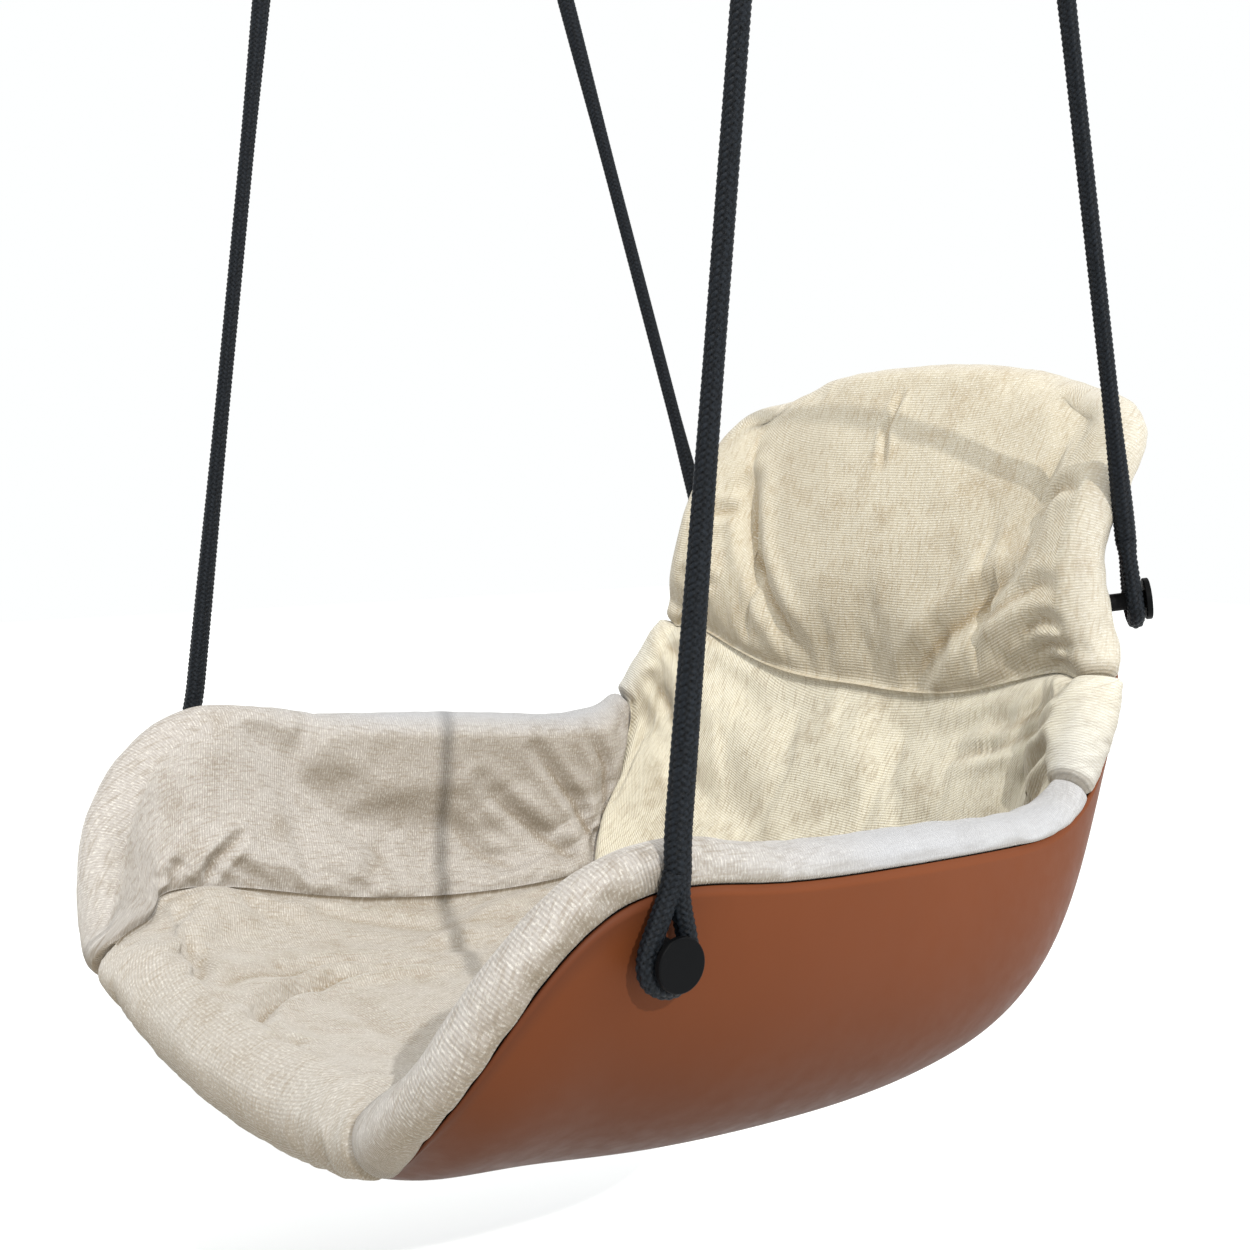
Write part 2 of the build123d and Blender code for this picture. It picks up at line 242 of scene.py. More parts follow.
def chenille():
    """Crushed ribbed chenille: ribs across the cloth, whitish flecks, painted shade where the cover faces
    down and along its folds, and a painted cool sheen on the edge rolls.
    """
    p = Paint("chenille", (0.52, 0.47, 0.38), 0.75)
    u, w, _ = p.split(p.attribute("cloth")[1])
    weave = p.put(p.node("ShaderNodeCombineXYZ"), X=u, Y=w, Z=0.0).outputs[0]
    sway = p.math("MULTIPLY", p.noise(9.0, 2.0), 6.0)
    ribs = p.math("SINE", p.math("MULTIPLY_ADD", w, 2 * pi / RIB_PITCH, sway))
    fleck = p.noise(1.0, 5.0, 0.75, weave, (260.0, 520.0, 1.0))
    slub = p.noise(1.0, 3.0, 0.6, weave, (420.0, 50.0, 1.0))
    crush = p.noise(19.0, 6.0, 0.7)
    patch = p.noise(4.5, 3.0, 0.5)
    # Painted shade: the cover is darkened where its normal points down, broken up by noise patches and
    # weaker high on the back.
    lean = p.split(p.node("ShaderNodeNewGeometry").outputs["Normal"])
    under = p.ramp(p.math("MULTIPLY_ADD", patch, 0.5, p.math("MULTIPLY_ADD", lean[2], 0.5, 0.25)),
                   (0.30, 1.0), (0.70, 0.0))
    place = p.split(p.attribute("place")[1])
    along = p.ramp(place[0], (0.05, 1.0), (0.20, 0.85), (0.62, 0.80), (0.80, 0.30))
    under = p.math("MULTIPLY", under, along)
    # Colour per cushion, partly the cushions' own tint and partly painted light and shade: the lumbar
    # lightest, the back warm, the seat and arms darker and cooler.
    tint_and_painted_light = p.attribute("tint_and_painted_light")[2]
    base = p.ramp(tint_and_painted_light, (0.0, (0.425, 0.400, 0.377)), (0.33, (0.430, 0.400, 0.362)),
                  (0.67, (0.680, 0.645, 0.520)), (1.0, (0.560, 0.518, 0.410)))
    dark = p.mix(tint_and_painted_light, (0.215, 0.172, 0.122, 1), (0.330, 0.250, 0.145, 1))
    # Darker patches of crushed pile, with painted shade added where the cover faces down and along its
    # folds.
    shade = p.math("MULTIPLY", p.ramp(crush, (0.50, 0.0), (0.68, 1.0)), 0.50)
    shade = p.math("MAXIMUM", shade, p.math("MULTIPLY", under, 0.90))
    shade = p.math("MAXIMUM", shade, p.math("MULTIPLY", p.attribute("crease")[2], 0.95))
    base = p.mix(shade, base, dark)
    light = p.math("MULTIPLY", p.ramp(fleck, (0.51, 0.0), (0.60, 1.0)), 0.50)
    base = p.mix(light, base, (0.78, 0.76, 0.70, 1))
    base = p.mix(p.math("MULTIPLY", p.ramp(slub, (0.36, 1.0), (0.50, 0.0)), 0.42), base, dark)
    base = p.mix(p.math("MULTIPLY_ADD", ribs, -0.13, 0.13), base, dark)
    # Painted cool sheen: the edge rolls along the arms and the lower back are painted paler and bluer, in
    # place of cool side light.
    painted_cool_sheen = p.math("MULTIPLY", p.ramp(p.attribute("roll")[2], (0.0, 0.0), (0.30, 1.0)),
                  p.ramp(place[0], (0.27, 0.0), (0.42, 1.0), (0.60, 1.0), (0.72, 0.25)))
    base = p.mix(p.math("MULTIPLY", painted_cool_sheen, 0.70), base, (0.405, 0.420, 0.450, 1))
    # Painted shade again where the cover faces down, in a deeper brown.
    base = p.mix(p.math("MULTIPLY", under, 0.60), base, (0.150, 0.120, 0.080, 1))
    height = p.math("MULTIPLY_ADD", ribs, 0.35, p.math("ADD", fleck, p.math("MULTIPLY", crush, 0.9)))
    shader = p.shader
    shader.inputs["Sheen Weight"].default_value = 0.30
    shader.inputs["Sheen Roughness"].default_value = 0.30
    shader.inputs["Sheen Tint"].default_value = (1.0, 0.98, 0.95, 1)
    shader.inputs["Specular IOR Level"].default_value = 0.2
    return p.finish(Base_Color=base, Roughness=p.ramp(fleck, (0.4, 0.85), (0.7, 0.60)),
                    Normal=p.bump(height, 0.65, 0.0011))


def leather():
    """Smooth terracotta leather with a fine grain, a darker, slightly burnished border, and painted shade
    where it faces down.
    """
    p = Paint("leather", (0.30, 0.11, 0.06), 0.42)
    patch = p.noise(4.0, 4.0)
    fine = p.noise(60.0, 5.0)
    pebble = p.put(p.node("ShaderNodeTexVoronoi", feature="F1"), Vector=p.space, Scale=900.0).outputs[0]
    color = p.ramp(patch, (0.3, (0.134, 0.037, 0.0120)), (0.7, (0.155, 0.045, 0.0160)))
    color = p.mix(p.math("MULTIPLY", fine, 0.16), color, (0.175, 0.052, 0.022, 1))
    color = p.mix(p.math("MULTIPLY", p.attribute("border")[2], 0.55), color, (0.08, 0.026, 0.014, 1))
    # Painted shade: the leather is darkened where its normal points down.
    lean = p.split(p.node("ShaderNodeNewGeometry").outputs["Normal"])
    painted_underside_shade = p.ramp(p.math("MULTIPLY_ADD", lean[2], 0.5, 0.5), (0.05, 1.0), (0.60, 0.0))
    color = p.mix(p.math("MULTIPLY", painted_underside_shade, 0.95), color, (0.050, 0.0155, 0.0050, 1))
    height = p.math("ADD", p.math("MULTIPLY", pebble, 0.6), p.math("MULTIPLY", fine, 0.4))
    rough = p.ramp(fine, (0.3, 0.40), (0.7, 0.50))
    p.shader.inputs["Specular IOR Level"].default_value = 0.07
    return p.finish(Base_Color=color, Roughness=rough, Normal=p.bump(height, 0.22, 0.0003))


def braid_paint():
    """Black polyester braid: fine yarns along each float, with a dull shine and painted shade in the
    grooves between floats.
    """
    p = Paint("rope_braid", (0.003, 0.0033, 0.004), 0.45)
    u = p.split(p.attribute("cloth")[1])[0]
    yarn = p.math("SINE", p.math("MULTIPLY", u, 2 * pi / YARN_PITCH))
    fuzz = p.noise(400.0, 3.0)
    color = p.ramp(fuzz, (0.3, (0.002, 0.003, 0.0045)), (0.75, (0.013, 0.017, 0.023)))
    # Painted shade: the grooves between the floats are painted near black.
    painted_groove_shade = p.ramp(p.attribute("painted_groove_shade")[2], (0.0, 0.0), (0.55, 1.0))
    color = p.mix(painted_groove_shade, color, (0.0003, 0.0003, 0.0004, 1))
    height = p.math("ADD", p.math("MULTIPLY", yarn, 0.5), p.math("MULTIPLY", fuzz, 0.4))
    p.shader.inputs["Specular IOR Level"].default_value = 0.13
    return p.finish(Base_Color=color, Roughness=p.ramp(fuzz, (0.3, 0.34), (0.7, 0.55)),
                    Normal=p.bump(height, 0.5, 0.0003))


def powder_coat(name, color, rough):
    p = Paint(name, color, rough)
    speck = p.noise(1400.0, 2.0)
    wear = p.noise(30.0, 5.0)
    shade = p.mix(p.math("MULTIPLY", wear, 0.35), (*color, 1), (*[c * 1.9 + 0.001 for c in color], 1))
    p.shader.inputs["Specular IOR Level"].default_value = 0.06
    return p.finish(Base_Color=shade, Roughness=p.ramp(wear, (0.3, rough - 0.06), (0.7, rough + 0.08)),
                    Normal=p.bump(speck, 0.18, 0.0002))


def steel():
    p = Paint("stainless_steel", (0.56, 0.56, 0.55), 0.3, 1.0)
    brushed = p.noise(300.0, 3.0, 0.6, None, (1.0, 1.0, 0.08))
    smear = p.noise(18.0, 4.0)
    shade = p.ramp(smear, (0.3, (0.46, 0.46, 0.455)), (0.7, (0.62, 0.62, 0.61)))
    return p.finish(Base_Color=shade, Roughness=p.ramp(brushed, (0.3, 0.24), (0.7, 0.42)),
                    Normal=p.bump(brushed, 0.12, 0.0002))


def floor_paint():
    p = Paint("pale_floor", (0.95, 0.96, 0.96), 0.9)
    p.shader.inputs["Specular IOR Level"].default_value = 0.0
    color = p.ramp(p.noise(1.3, 2.0), (0.3, (0.945, 0.96, 0.96)), (0.7, (0.96, 0.97, 0.97)))
    return p.finish(Base_Color=color)


# ---------------------------------------------------------------- meshes
def make_object(name, verts, faces, paint, attributes):
    """A mesh object from arrays, with point attributes given as (name, kind, values)."""
    mesh = bpy.data.meshes.new(name)
    mesh.from_pydata([tuple(p) for p in verts], [], [tuple(int(i) for i in f) for f in faces])
    for label, kind, values in attributes:
        layer = mesh.attributes.new(label, kind, "POINT")
        key = "vector" if kind == "FLOAT_VECTOR" else "value"
        layer.data.foreach_set(key, np.ascontiguousarray(values, dtype=np.float32).ravel())
    mesh.materials.append(paint)
    mesh.polygons.foreach_set("use_smooth", [True] * len(mesh.polygons))
    mesh.validate()
    obj = bpy.data.objects.new(name, mesh)
    bpy.context.scene.collection.objects.link(obj)
    return obj


def read(mesh, what, name=None):
    """Positions, normals or an attribute of a mesh as an array."""
    source = mesh.attributes[name].data if name else mesh.vertices
    wide = 1 if what == "value" else 3
    values = np.empty(len(source) * wide, dtype=np.float32)
    source.foreach_get(what, values)
    return values.reshape(-1, wide).astype(float) if wide == 3 else values.astype(float)


def set_positions(mesh, points):
    mesh.vertices.foreach_set("co", np.ascontiguousarray(points, dtype=np.float32).ravel())
    mesh.update()


def settle(obj):
    """Replaces an object's mesh by its evaluated one and drops the modifiers."""
    graph = bpy.context.evaluated_depsgraph_get()
    mesh = bpy.data.meshes.new_from_object(obj.evaluated_get(graph), preserve_all_data_layers=True,
                                           depsgraph=graph)
    obj.modifiers.clear()
    obj.data = mesh


# ---------------------------------------------------------------- upholstery
NT, NV = 170, 141
SEAT_ROW, TUCK_ROW = 104, 135    # grid rows of the seams under and across the back
ARM_COLUMN = 113                 # grid column of the seam between seat and left arm
SPAN_ROW = 70                    # grid row that gives the distances across the seat
TURNS = 12                       # rings of vertices round the edge roll
BULGE = 0.0018                   # how far the roll stands out over the leather


def seams(t, v):
    """Places of the three seams: the end of the seat, the tuck across the back, and the arm's inside."""
    seat_end = 0.575 + 0.077 * np.abs(v) ** 2.5
    tuck = 0.832 - 0.095 * np.abs(v) ** 1.6
    arm = 0.50 + 0.44 * np.exp(-t / 0.15)
    return seat_end, tuck, arm


def grid_places():
    """The places (t, v) of the grid's points, with its rows and columns along the seams."""
    a, b = np.meshgrid(np.arange(NT), np.linspace(-1, 1, NV), indexing="ij")
    middle = np.abs(2 * ARM_COLUMN / (NV - 1) - 1)
    t, v = a / (NT - 1), b.copy()
    for _ in range(12):
        seat_end, tuck, arm = seams(t, v)
        low = a / SEAT_ROW * seat_end
        mid = seat_end + (a - SEAT_ROW) / (TUCK_ROW - SEAT_ROW) * (tuck - seat_end)
        high = tuck + (a - TUCK_ROW) / (NT - 1 - TUCK_ROW) * (1 - tuck)
        t = np.where(a <= SEAT_ROW, low, np.where(a <= TUCK_ROW, mid, high))
        side = np.abs(b)
        v = np.where(side < middle, side / middle * arm, arm + (side - middle) / (1 - middle) * (1 - arm))
        v = np.sign(b) * v
    return t, v


TT, VV = grid_places()


def unit(rows):
    return rows / np.maximum(np.linalg.norm(rows, axis=-1, keepdims=True), 1e-9)


def arc_length(points):
    return np.concatenate([[0], np.cumsum(np.linalg.norm(np.diff(points, axis=0), axis=1))])


def rim_loop():
    """Grid indices round the whole rim, once, from the lip's right end."""
    loop = [(0, j) for j in range(NV - 1)]
    loop += [(i, NV - 1) for i in range(NT - 1)]
    loop += [(NT - 1, j) for j in range(NV - 1, 0, -1)]
    loop += [(i, 0) for i in range(NT - 1, 0, -1)]
    return loop


def ease(rows, times):
    for _ in range(times):
        rows = (np.roll(rows, 1, 0) + 2 * rows + np.roll(rows, -1, 0)) / 4
    return rows


class Rim:
    """The edge roll's base line with directions into the seat and out of the edge."""

    def __init__(self):
        self.loop = rim_loop()
        self.index = {place: k for k, place in enumerate(self.loop)}
        t = np.array([TT[p] for p in self.loop])
        v = np.array([VV[p] for p in self.loop])
        self.base = outer(t, v)
        n = 100
        step = np.arange(n) / n
        one = np.ones(n)
        fine_t = np.concatenate([0 * one, step, one, 1 - step, [0]])
        fine_v = np.concatenate([2 * step - 1, one, 1 - 2 * step, -one, [-1]])
        line = outer(fine_t, fine_v)
        length = arc_length(line)
        even = np.linspace(0, length[-1], 561)[:-1]
        t_even = np.interp(even, length, fine_t)
        v_even = np.interp(even, length, fine_v)
        base = outer(t_even, v_even)
        inward = unit(ease(slopes(t_even, v_even)[2], 24))
        along = unit(ease(np.roll(base, -1, 0) - np.roll(base, 1, 0), 24))
        away = unit(np.cross(along, inward))
        inner = outer(np.clip(t_even, 0.04, 0.96), v_even * 0.95)
        away *= np.sign(((base - inner) * away).sum(-1, keepdims=True))
        square = unit(np.cross(away, along))
        square *= np.sign((square * inward).sum(-1, keepdims=True))
        turn = np.stack([np.interp(even, length, np.repeat(x, n).tolist() + [x[0]]) for x in
                         (np.array([0, 1, 0, -1.0]), np.array([-1, 0, 1, 0.0]))], -1)
        turn = unit(ease(turn, 40))
        radius = ease(thickness(t_even, v_even)[:, None], 10) / 2
        place = np.interp(self.edge_arc(), (0, 1), (0, length[-1]))

        def at(rows):
            rows = np.concatenate([rows, rows[:1]])
            where = np.append(even, length[-1])
            return np.stack([np.interp(place, where, rows[:, c]) for c in range(rows.shape[1])], -1)
        self.inward, self.away = unit(at(square)), unit(at(away))
        self.cloth_out, self.radius = unit(at(turn)), at(radius)[:, 0]

    def edge_arc(self):
        """Share of the way round for every loop place, found from the true line and not from the chords."""
        n = 60
        t = np.array([TT[p] for p in self.loop] + [0.0])
        v = np.array([VV[p] for p in self.loop] + [-1.0])
        share = np.linspace(0, 1, n, endpoint=False)
        fine_t = (t[:-1, None] + (t[1:] - t[:-1])[:, None] * share).ravel()
        fine_v = (v[:-1, None] + (v[1:] - v[:-1])[:, None] * share).ravel()
        length = arc_length(outer(fine_t, fine_v))
        return length[::n] / length[-1]

    def ring(self, k, turn):
        """The roll's points at loop places k: turn 0 is the leather seam, 1 the inside of the edge."""
        radius = self.radius[k][:, None]
        start = -np.arccos(1 - BULGE / radius)
        angle = start + (pi - start) * turn
        reach = ROLL_PROUD / (1 - np.sin(start))
        through = (radius - BULGE) - radius * np.cos(angle) + BULGE * smooth_step(angle, 0.5 * pi, pi)
        low = radius * reach * (np.sin(angle) - np.sin(start))
        proud = np.where(angle < pi / 2, low, radius * ROLL_PROUD * np.sin(angle))
        return self.base[k] + self.inward[k] * through + self.away[k] * proud


RIM = Rim()


def inner_surface():
    """The cushions' free surface over the whole grid, meeting the roll all round."""
    points = outer(TT, VV) + slopes(TT, VV)[2] * thickness(TT, VV)[..., None]
    edge = np.array(RIM.loop)
    target = RIM.ring(np.arange(len(edge)), np.ones((len(edge), 1)))
    gap = target - points[edge[:, 0], edge[:, 1]]
    from_edge = points[edge[:, 0], edge[:, 1]]
    flat = points.reshape(-1, 3)
    shift = np.zeros_like(flat)
    for first in range(0, len(flat), 4000):
        part = flat[first:first + 4000]
        away = np.linalg.norm(part[:, None] - from_edge[None], axis=-1)
        near = away.argmin(1)
        fade = 1 - smooth_step(away.min(1), 0.0, 0.07)
        close = np.exp(-((away - away.min(1, keepdims=True)) / 0.006) ** 2)
        shift[first:first + 4000] = (close @ gap) / close.sum(1, keepdims=True) * fade[:, None]
        exact = away.min(1) < 1e-9
        shift[first:first + 4000][exact] = gap[near[exact]]
    return (flat + shift).reshape(points.shape)


INNER = inner_surface()
ACROSS = np.stack([arc_length(row) for row in INNER])
ALONG = np.stack([arc_length(INNER[:, j]) for j in range(NV)], -1)


class Cushion:
    """A closed cushion over a block of the grid, with the edge roll where it meets the rim."""

    def __init__(self, name, rows, columns, middle, crown, pinch, tint_and_painted_light, paint):
        self.i0, self.i1 = rows
        self.j0, self.j1 = columns
        self.across, self.along = ACROSS[SPAN_ROW], ALONG[:, middle]
        self.crown, self.pinch = crown, pinch
        self.verts, self.cloth, self.place, self.faces, self.sink, self.drift = [], [], [], [], [], []
        self.build()
        verts, cloth, place = (np.array(x) for x in (self.verts, self.cloth, self.place))
        self.object = make_object(name, verts, self.faces, paint, [
            ("cloth", "FLOAT_VECTOR", cloth + np.array(self.drift)), ("place", "FLOAT_VECTOR", place),
            # tint_and_painted_light: the cushion's colour setting, partly painted light.
            ("tint_and_painted_light", "FLOAT", np.full(len(verts), tint_and_painted_light)),
            ("roll", "FLOAT", np.where(place[:, 2] >= 0, 1 - place[:, 2], 0)),
            # crease: painted shade along the folds, filled in by wrinkle.
            ("crease", "FLOAT", np.zeros(len(verts))),
            ("sewn", "FLOAT", self.seam_distance(cloth) < 1e-6)])
        self.shape(verts, cloth, place)

    def add(self, points, cloth, place, sink, drift):
        """Adds points with their places in the cloth and on the shell.

        Sink is the way that a seam pulls a point, and drift is what turns its place in the cloth into
        distances along its own row and column, for the weave.
        """
        first = len(self.verts)
        self.drift += list(drift)
        self.sink += list(sink)
        self.verts += list(points)
        self.cloth += list(cloth)
        self.place += list(place)
        return first + np.arange(len(points))

    def seam_distance(self, cloth):
        """Distance from the sewn sides of the block, which are those off the rim."""
        far = np.full(len(cloth), 9.0)
        if self.i0 > 0:
            far = np.minimum(far, cloth[:, 1] - self.along[self.i0])
        if self.i1 < NT - 1:
            far = np.minimum(far, self.along[self.i1] - cloth[:, 1])
        if self.j0 > 0:
            far = np.minimum(far, cloth[:, 0] - self.across[self.j0])
        if self.j1 < NV - 1:
            far = np.minimum(far, self.across[self.j1] - cloth[:, 0])
        return np.maximum(far, 0)

    def skin(self, grid, flip):
        a, b, c, d = grid[:-1, :-1], grid[:-1, 1:], grid[1:, 1:], grid[1:, :-1]
        quads = np.stack([a, d, c, b] if flip else [a, b, c, d], -1).reshape(-1, 4)
        self.faces += [tuple(q) for q in quads]

    def build(self):
        rows, columns = range(self.i0, self.i1 + 1), range(self.j0, self.j1 + 1)
        i, j = [a.ravel() for a in np.meshgrid(rows, columns, indexing="ij")]
        shape = self.i1 - self.i0 + 1, self.j1 - self.j0 + 1
        t, v = TT[i, j], VV[i, j]
        cloth = np.stack([self.across[j], self.along[i], np.zeros(len(i))], -1)
        inward = slopes(t, v)[2]
        row, column = (self.i0 + self.i1) // 2, (self.j0 + self.j1) // 2
        drift = np.stack([ACROSS[i, j] - ACROSS[i, column] + self.across[column] - self.across[j],
                          ALONG[i, j] - ALONG[row, j] + self.along[row] - self.along[i], 0 * t], -1)
        upside = np.stack([t, v, np.ones(len(t))], -1)
        top = self.add(INNER[i, j], cloth, upside, -inward, drift).reshape(shape)
        low = outer(t, v) + inward * SHELL_IN
        under = self.add(low, cloth, upside * (1, 1, -1), -inward, drift).reshape(shape)
        self.skin(top, False)
        self.skin(under, True)
        border = [(self.i0, x) for x in range(self.j0, self.j1)]
        border += [(x, self.j1) for x in range(self.i0, self.i1)]
        border += [(self.i1, x) for x in range(self.j1, self.j0, -1)]
        border += [(x, self.j0) for x in range(self.i1, self.i0, -1)]
        steps = np.linspace(1, 0, TURNS + 1)[1:]
        ladders = []
        for p in border:
            upper, lower = top[p[0] - self.i0, p[1] - self.j0], under[p[0] - self.i0, p[1] - self.j0]
            here = np.array(self.cloth[upper])
            if p in RIM.index:
                k = np.full(TURNS, RIM.index[p])
                ring = RIM.ring(k, steps[:, None])
                core = RIM.base[k] + RIM.inward[k] * RIM.radius[k][:, None]
                sink = unit(core - ring)
                arc = (1 - steps) * pi * RIM.radius[k]
                sheet = here + arc[:, None] * np.append(RIM.cloth_out[k[0]], 0)
                kind = steps
            else:
                share = (1 - steps[:, None]) * TURNS / (TURNS + 1)
                ring = self.verts[upper] + (self.verts[lower] - self.verts[upper]) * share
                sheet = here + (1 - steps[:, None]) * (0, 0, 0.03)
                kind = -np.ones(TURNS)
                sink = 0 * ring
            spot = np.stack([np.full(TURNS, TT[p]), np.full(TURNS, VV[p]), kind], -1)
            shift = [self.drift[upper]] * TURNS
            ladders.append(np.concatenate([[upper], self.add(ring, sheet, spot, sink, shift), [lower]]))
        for one, two in zip(ladders, ladders[1:] + ladders[:1]):
            self.faces += [(one[s], one[s + 1], two[s + 1], two[s]) for s in range(TURNS + 1)]

    def shape(self, verts, cloth, place):
        """Crowns the cushion and rounds its sewn sides down into the crease."""
        mesh = self.object.data
        normals = np.array([tuple(x.vector) for x in mesh.vertex_normals])
        far = self.seam_distance(cloth)
        width, depth = self.pinch
        near = np.clip(1 - far / width, 0, 1)
        drop = depth * (1 - np.sqrt(np.clip(1 - near ** 2, 0, 1)))
        swell = self.crown * smooth_step(far, 0.0, 0.11) * smooth_step(place[:, 2], 0.0, 0.9)
        free = place[:, 2] >= 0
        self.pins = (place[:, 2] <= 0) | (far < 1e-6)
        ring = (place[:, 2] >= 0) & (place[:, 2] < 1)
        drop *= np.where(ring, 0.75 * smooth_step(place[:, 2], 0.0, 0.15), 1)
        lower = np.array(self.sink) * drop[:, None]
        set_positions(mesh, verts + np.where(free[:, None], normals * swell[:, None] + lower, 0))


def simulate(cushion, swell, pressure, cap, frames=18):
    """Lets the cover, cut a little larger than the filling, puff up and wrinkle between its seams."""
    obj = cushion.object
    before = read(obj.data, "co")
    group = obj.vertex_groups.new(name="sewn")
    group.add([int(k) for k in np.nonzero(cushion.pins)[0]], 1.0, "REPLACE")
    cloth = obj.modifiers.new("cover", "CLOTH")
    s = cloth.settings
    s.quality = 6
    s.mass = 0.25
    s.tension_stiffness = 18
    s.compression_stiffness = 18
    s.shear_stiffness = 8
    s.bending_stiffness = 0.35
    s.air_damping = 2.0
    s.vertex_group_mass = "sewn"
    s.shrink_min = -swell
    s.use_pressure = True
    s.uniform_pressure_force = pressure
    s.effector_weights.gravity = 0
    cloth.collision_settings.use_collision = False
    cloth.point_cache.frame_start = 1
    cloth.point_cache.frame_end = frames
    scene = bpy.context.scene
    for number in range(1, frames + 1):
        scene.frame_set(number)
    settle(obj)
    scene.frame_set(1)
    obj.vertex_groups.clear()
    move = read(obj.data, "co") - before
    size = np.linalg.norm(move, axis=1, keepdims=True)
    roll = read(obj.data, "value", "roll")[:, None]
    limit = cap * (1 - 0.65 * smooth_step(roll, 0.0, 0.25))
    set_positions(obj.data, before + move * np.minimum(1, limit / np.maximum(size, 1e-9)))


def subdivide(obj, levels=1):
    made = obj.modifiers.new("smooth", "SUBSURF")
    made.levels = levels
    made.render_levels = levels
    settle(obj)


# Wrinkles and tucks: the kind of cushion, depth and half width in mm, and places (t, v) along each.
FOLDS = [
    ("seat", 10.0, 9, [(0.020, -0.04), (0.080, -0.09), (0.160, -0.156), (0.246, -0.212),
                       (0.339, -0.216), (0.40, -0.20)]),
    ("seat", 4.8, 13, [(0.07, -0.22), (0.14, -0.24), (0.25, -0.28), (0.40, -0.26)]),
    ("seat", 3.0, 9, [(0.00, -0.50), (0.04, -0.50), (0.09, -0.46)]),
    ("seat", 4.4, 8, [(0.00, -0.34), (0.05, -0.38), (0.10, -0.36)]),
    ("seat", 3.6, 8, [(0.00, 0.10), (0.05, 0.06), (0.09, 0.08)]),
    ("seat", 2.4, 12, [(0.30, -0.50), (0.42, -0.38), (0.52, -0.36)]),
    ("arm", 5.4, 6, [(0.238, 0.744), (0.208, 0.688), (0.186, 0.628)]),
    ("arm", 3.4, 7, [(0.170, 0.732), (0.130, 0.708)]),
    ("arm", 5.8, 8, [(0.600, 1.00), (0.612, 0.90), (0.612, 0.74), (0.600, 0.62)]),
    ("arm", 5.8, 9, [(0.545, 0.98), (0.578, 0.82), (0.594, 0.66), (0.592, 0.54)]),
    ("arm", 4.6, 10, [(0.490, 0.90), (0.540, 0.72), (0.585, 0.53)]),
    ("arm", 3.4, 10, [(0.455, 0.80), (0.480, 0.68), (0.520, 0.58)]),
    ("arm", 2.9, 14, [(0.360, 0.60), (0.385, 0.68), (0.380, 0.76)]),
    ("back", 8.8, 13, [(0.884, -0.68), (0.868, -0.44), (0.852, -0.24), (0.836, -0.12)]),
    ("back", 8.8, 14, [(0.836, 0.15), (0.850, 0.26), (0.852, 0.45), (0.842, 0.70)]),
    ("back", 4.6, 8, [(0.815, 1.00), (0.820, 0.80), (0.832, 0.56), (0.846, 0.36)]),
    ("back", 5.2, 7, [(0.790, 1.00), (0.798, 0.84), (0.808, 0.62)]),
    ("back", 5.2, 6, [(0.768, 1.00), (0.780, 0.86), (0.796, 0.66)]),
    ("back", 4.4, 6, [(0.748, 1.00), (0.762, 0.90), (0.782, 0.72)]),
    ("back", 4.8, 7, [(0.870, 1.00), (0.872, 0.88), (0.862, 0.74)]),
    ("back", 4.8, 8, [(0.846, -1.00), (0.850, -0.88), (0.862, -0.70)]),
    ("back", 4.8, 7, [(0.800, -1.00), (0.806, -0.84), (0.822, -0.62)]),
    ("back", 4.2, 5, [(0.990, 0.00), (0.966, -0.010), (0.936, 0.008)]),
    ("lumbar", 5.0, 7, [(0.702, 1.00), (0.710, 0.90), (0.729, 0.744), (0.768, 0.43), (0.784, 0.25)]),
    ("lumbar", 4.5, 9, [(0.722, 1.00), (0.736, 0.82), (0.752, 0.66), (0.780, 0.44)]),
    ("lumbar", 5.6, 8, [(0.680, 1.00), (0.688, 0.90), (0.701, 0.71)]),
    ("lumbar", 5.6, 6, [(0.662, 1.00), (0.668, 0.88), (0.678, 0.76)]),
    ("lumbar", 4.5, 8, [(0.715, -1.00), (0.728, -0.84), (0.745, -0.64)]),
    ("lumbar", 4.5, 8, [(0.680, -1.00), (0.690, -0.84), (0.700, -0.66)]),
]


def fold_line(places, sign):
    """Points along a fold on the cushion's surface, the directions into the seat, and fading weights."""
    places = np.array(places, float)
    step = np.arange(len(places))
    fine = np.linspace(0, len(places) - 1, 50)
    t = np.interp(fine, step, places[:, 0])
    v = np.interp(fine, step, places[:, 1]) * sign
    inward = slopes(t, v)[2]
    share = fine / fine[-1]
    weight = smooth_step(share, 1.0, 0.7) * smooth_step(share, -0.25, 0.25)
    return outer(t, v) + inward * thickness(t, v)[:, None], inward, weight


